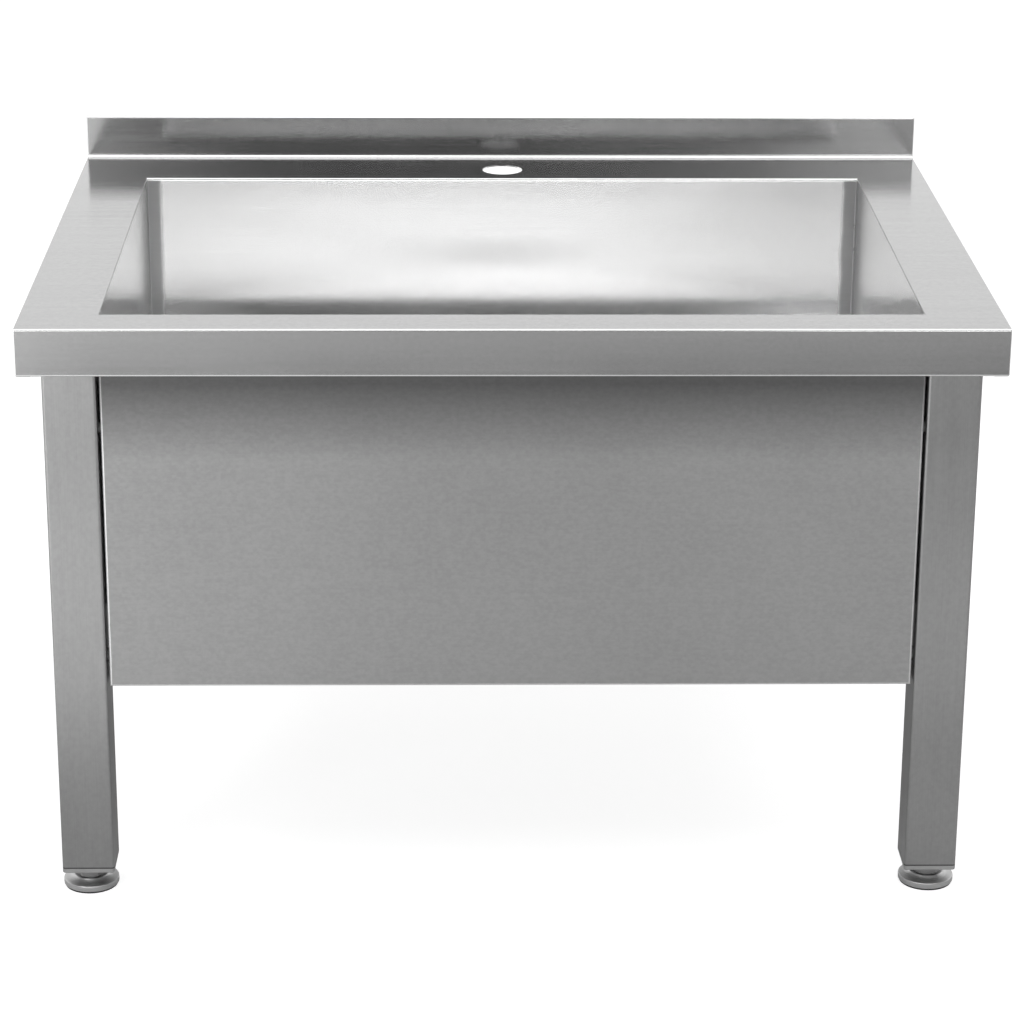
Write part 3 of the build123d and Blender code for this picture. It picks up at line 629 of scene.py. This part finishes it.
seam_size = 1.0 * MILLI
seam_low = bowl_low[2] + 9.0 * MILLI
seam_high = deck_z - 2.0 * MILLI
for side_name, side in (("left", -1), ("right", 1)):
    for end_name, end_y, inward in (("front", bowl_front_y, 1), ("back", bowl_rear_y, -1)):
        seam_name = f"bowl_seam_{end_name}_{side_name}"
        seam_corner = (side * bowl_inside_x, end_y)
        seam = corner_seam(seam_name, seam_corner, (-side, inward), seam_size, seam_low, seam_high)
        add_piece(seam_name, seam, "sink", "bowl_steel", finish=weld_metal)

brace_low, brace_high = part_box("rear_brace")
brace_inner = (brace_low[1] + weld_inset, brace_low[2] + weld_inset)
brace_outer = (brace_high[1] - weld_inset, brace_high[2] - weld_inset)
for side_name, end_x in (("left", brace_low[0]), ("right", brace_high[0])):
    weld_round(f"brace_weld_{side_name}", brace_inner, brace_outer, 0, end_x)
    side_low, side_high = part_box(f"{side_name}_rail")
    rail_inner = (side_low[0] + weld_inset, side_low[2] + weld_inset)
    rail_outer = (side_high[0] - weld_inset, side_high[2] - weld_inset_under_deck)
    for end_name, end_y in (("front", side_low[1]), ("back", side_high[1])):
        weld_round(f"rail_weld_{end_name}_{side_name}", rail_inner, rail_outer, 1, end_y)

housing_low, housing_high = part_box("waste_housing")
outlet_centre = ((housing_low[0] + housing_high[0]) / 2, (housing_low[1] + housing_high[1]) / 2)
outlet_thread = thread_sleeve("outlet_thread", outlet_centre, housing_low[2] + 1.5 * MILLI,
                              housing_low[2] + 26.0 * MILLI, radius=23.9 * MILLI,
                              depth=0.5 * MILLI, step=2.31 * MILLI)
add_piece("outlet_thread", outlet_thread, "sink", "housing_plastic", sharp_angle=sharp_on_threads)

# ------------------------------------------------------------------ camera
# The photograph's viewpoint, worked out from the sink's corners. Angles are in degrees.
camera_place = (-0.0570, -2.7984, 1.2432)
camera_tilt = 90.0 - 19.67
camera_turn = -1.29
camera_roll = 0.36
camera_lens = 114.4

camera_data = bpy.data.cameras.new("camera")
camera_data.sensor_width = 36.0
camera_data.lens = camera_lens
camera_data.clip_end = 60.0
camera = bpy.data.objects.new("camera", camera_data)
bpy.context.scene.collection.objects.link(camera)
camera.location = camera_place
camera.rotation_mode = "QUATERNION"
turn = Quaternion((0, 0, 1), math.radians(camera_turn))
tilt = Quaternion((1, 0, 0), math.radians(camera_tilt))
roll = Quaternion((0, 0, 1), math.radians(camera_roll))
camera.rotation_quaternion = turn @ tilt @ roll
bpy.context.scene.camera = camera


# ------------------------------------------------------------------ studio
WHITE = (1.0, 1.0, 1.0, 1.0)


def show_two_ways(tree, output_kind, to_steel, to_camera):
    """Shows one shader to the camera, and another to the steel and all else."""
    seen = add(tree, "ShaderNodeLightPath").outputs["Is Camera Ray"]
    mixed = add(tree, "ShaderNodeMixShader", {0: seen, 1: to_steel, 2: to_camera}).outputs[0]
    add(tree, output_kind, {"Surface": mixed})


def pale_floor():
    """The floor's paint. The camera sees it nearly white, with the sink's soft shadow on it. The
    steel sees painted light behind the sink and on the left, painted shade near the feet and on
    the right, and a painted dark strip across, halfway to the camera."""
    # The places in metres where each change across the floor starts and ends.
    strip_camera_side, strip_sink_side = (-1.95, -1.75), (-1.5, -1.25)
    left_part, near_feet, behind_sink = (-0.75, -0.55), (-0.8, -0.45), (0.3, 0.6)
    left_to_right, camera_part = (-0.45, 0.25), (-1.9, -1.7)
    under_apron, far_left = (-0.75, -0.45), (-0.9, -0.5)
    darkest, contrast, feet_dimming = 0.25, 0.65, 0.45
    left_tone, right_tone, apron_tone, far_left_tone = 1.05, 0.78, 1.12, 1.4
    paint, glow = (0.5, 0.5, 0.5, 1.0), 0.78
    material = bpy.data.materials.new("pale_floor")
    material.use_nodes = True
    tree = material.node_tree
    tree.nodes.clear()
    place = parts_of(tree, add(tree, "ShaderNodeTexCoord").outputs["Object"])

    def zone(axis, places, low, high):
        return ramp(tree, place[axis], *places, low, high, kind="SMOOTHSTEP")

    def lighter(first, second):
        return calc(tree, "MAXIMUM", first, second)

    # Painted light and shade, seen only by the steel.
    tone = lighter(zone("Y", strip_sink_side, 0.0, 1.0), zone("Y", strip_camera_side, 1.0, 0.0))
    tone = lighter(tone, zone("X", left_part, 1.0, 0.0))
    tone = calc(tree, "MULTIPLY", tone, zone("Y", near_feet, 1.0, feet_dimming))
    tone = lighter(tone, zone("Y", behind_sink, 0.0, 1.0))
    tone = calc(tree, "MULTIPLY_ADD", tone, contrast, darkest)
    across = lighter(zone("X", left_to_right, left_tone, right_tone), zone("Y", camera_part, 1.0, 0.0))
    across = lighter(across, zone("Y", under_apron, 0.0, apron_tone))
    tone = calc(tree, "MULTIPLY", tone, across)
    tone = calc(tree, "MULTIPLY", tone, zone("X", far_left, far_left_tone, 1.0))
    to_steel = add(tree, "ShaderNodeBsdfDiffuse", {"Color": tone}).outputs[0]
    painted = add(tree, "ShaderNodeBsdfDiffuse", {"Color": paint}).outputs[0]
    glowing = add(tree, "ShaderNodeEmission", {"Color": WHITE, "Strength": glow}).outputs[0]
    to_camera = add(tree, "ShaderNodeAddShader", {0: painted, 1: glowing}).outputs[0]
    show_two_ways(tree, "ShaderNodeOutputMaterial", to_steel, to_camera)
    return material


def studio_floor():
    """A flat round floor just under the feet: rings of x = r cos t, y = r sin t. A stop at each foot
    keeps it under the lowest one when the feet are screwed out."""
    drop = 0.05 * MILLI
    radius = np.array([0.0, 1.0, 3.0, 8.0, 20.0])[:, None]
    # Backward steps make the floor face up.
    mesh = ring_mesh("studio_floor", around((0.0, 0.0), radius, -drop, -turn_steps(96)))
    mesh.materials.append(pale_floor())
    floor = bpy.data.objects.new("studio_floor", mesh)
    bpy.context.scene.collection.objects.link(floor)
    for leg in LEG_PLACES:
        stop = floor.constraints.new("FLOOR")
        stop.target = frame["bodies"][f"foot_{leg}"]
        stop.floor_location = "FLOOR_NEGATIVE_Z"


def studio_world():
    """White to the camera. To the sink, a bright sweep behind it, lit paper at both sides in front, a
    dark gap between them where the camera stands, a dark room above those, and a paler ceiling."""
    sweep, upper_sweep, ceiling = 1.22, 0.75, 0.6
    side_paper, camera_gap, corner, room = 3.0, 0.45, 0.45, 0.03
    # Where each change starts and ends, as the X, Y or Z of a direction of length 1.
    gap_to_paper, paper_to_corner = (0.09, 0.13), (0.25, 0.32)
    paper_to_room, room_to_ceiling = (0.225, 0.25), (0.55, 0.7)
    up_the_sweep, sweep_to_ceiling = (0.31, 0.43), (0.5, 0.9)
    front_to_behind = (-0.15, 0.15)
    world = bpy.data.worlds.new("studio_world")
    world.use_nodes = True
    tree = world.node_tree
    tree.nodes.clear()
    way = parts_of(tree, add(tree, "ShaderNodeTexCoord").outputs["Generated"])

    def change(value, places, low, high):
        return ramp(tree, value, *places, low, high, kind="SMOOTHSTEP")

    def blend(value, places, first, second):
        sockets = {"Factor": change(value, places, 0.0, 1.0), "A": first, "B": second}
        return add(tree, "ShaderNodeMix", sockets, data_type="FLOAT").outputs["Result"]

    aside = calc(tree, "ABSOLUTE", way["X"])
    paper = change(aside, gap_to_paper, camera_gap, side_paper)
    paper = blend(aside, paper_to_corner, paper, corner)
    front = blend(way["Z"], paper_to_room, paper, room)
    front = blend(way["Z"], room_to_ceiling, front, ceiling)
    behind = change(way["Z"], up_the_sweep, sweep, upper_sweep)
    behind = blend(way["Z"], sweep_to_ceiling, behind, ceiling)
    everywhere = blend(way["Y"], front_to_behind, front, behind)
    to_steel = add(tree, "ShaderNodeBackground", {"Color": everywhere, "Strength": 1.0}).outputs[0]
    to_camera = add(tree, "ShaderNodeBackground", {"Color": WHITE, "Strength": 1.0}).outputs[0]
    show_two_ways(tree, "ShaderNodeOutputWorld", to_steel, to_camera)
    bpy.context.scene.world = world


def softbox(name, place, aim, size, brightness):
    """A flat lamp of a given brightness, turned to its aim. Its power is pi * area * brightness."""
    data = bpy.data.lights.new(name, "AREA")
    data.shape = "RECTANGLE"
    data.size = size[0]
    data.size_y = size[1]
    data.energy = math.pi * size[0] * size[1] * brightness
    lamp = bpy.data.objects.new(name, data)
    bpy.context.scene.collection.objects.link(lamp)
    lamp.location = place
    away = np.array(place) - np.array(aim)
    flat = math.hypot(away[0], away[1])
    lamp.rotation_euler = (math.atan2(flat, away[2]), 0.0, math.atan2(away[0], -away[1]))
    lamp.visible_camera = False


studio_floor()
studio_world()
softbox("overhead_softbox", place=(0.0, -0.55, 2.3), aim=(0.0, -0.4, 0.3), size=(3.4, 2.4), brightness=1.3)
softbox("left_softbox", place=(-1.35, -2.0, 1.0), aim=(-0.5, -1.85, 0.0), size=(0.8, 0.8), brightness=6.0)
bpy.context.scene.view_settings.view_transform = "Standard"
# Light passes the bowl's walls and floor several times before it leaves.
bpy.context.scene.cycles.glossy_bounces = 8
